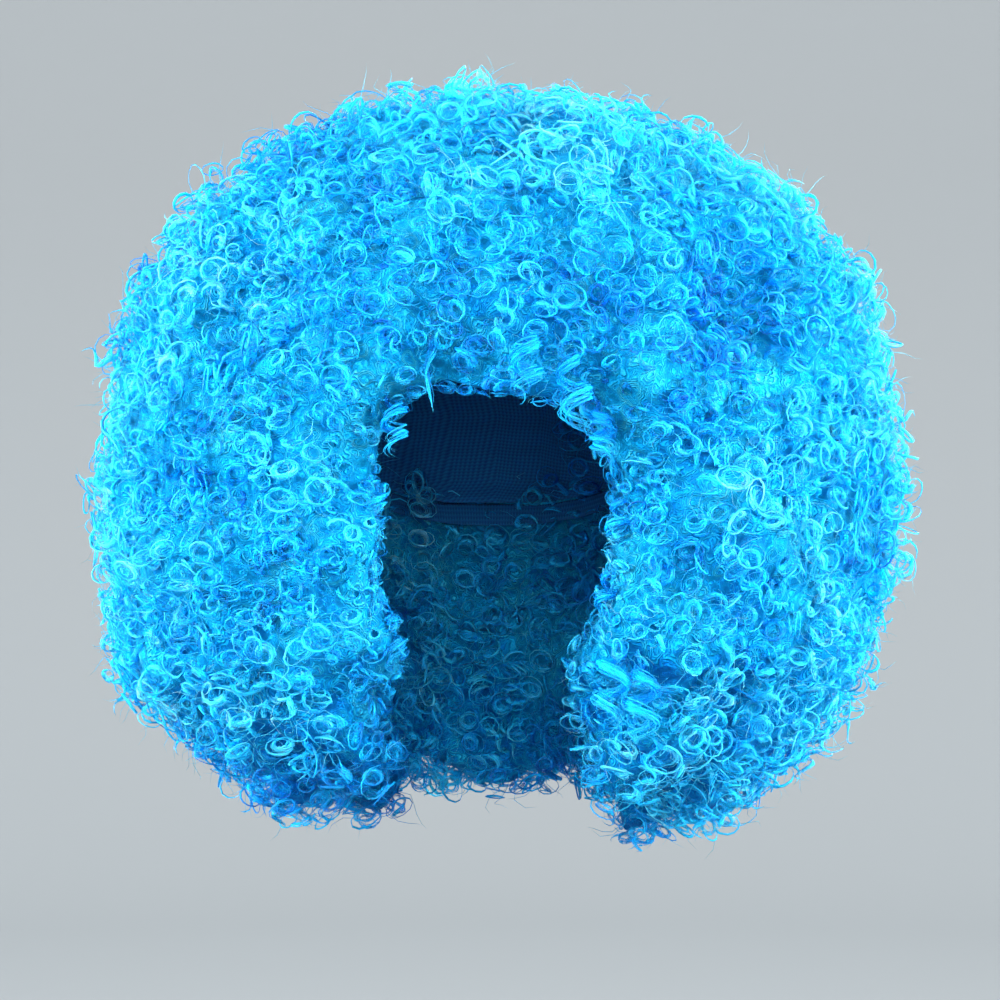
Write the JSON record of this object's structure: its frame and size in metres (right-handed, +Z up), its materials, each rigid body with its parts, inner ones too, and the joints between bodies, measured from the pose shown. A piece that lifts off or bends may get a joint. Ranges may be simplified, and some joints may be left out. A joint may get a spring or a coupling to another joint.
{
  "type": "curly costume wig",
  "caption": "Big round costume wig of tight blue curls sewn on a stretch net cap with an elastic rim, open for the face and the neck.",
  "frame": {"origin": "inside of the cap's crown, the point that sits on the top of the head", "axes": "+Z up the wearer's head, -Y out of the face, +X to the wearer's left; the mount's axis points down into the head"},
  "size_m": [0.424, 0.3702, 0.3967],
  "materials": {
    "curly_fibre": "crimped and curled synthetic wig fibre with a soft sheen, bright blue with darker hollows",
    "net_cloth": "matt knitted stretch net with rows of sewn hair wefts",
    "elastic": "ribbed woven elastic with two rows of stitches"
  },
  "bodies": {
    "root": {"cap_net": "net_cloth", "cap_band": "elastic", "crown_hair": "curly_fibre", "fringe_hair": "curly_fibre", "left_temple_hair": "curly_fibre", "back_upper_hair": "curly_fibre", "right_temple_hair": "curly_fibre", "left_side_hair": "curly_fibre", "nape_hair": "curly_fibre", "right_side_hair": "curly_fibre"}
  },
  "joints": []
}
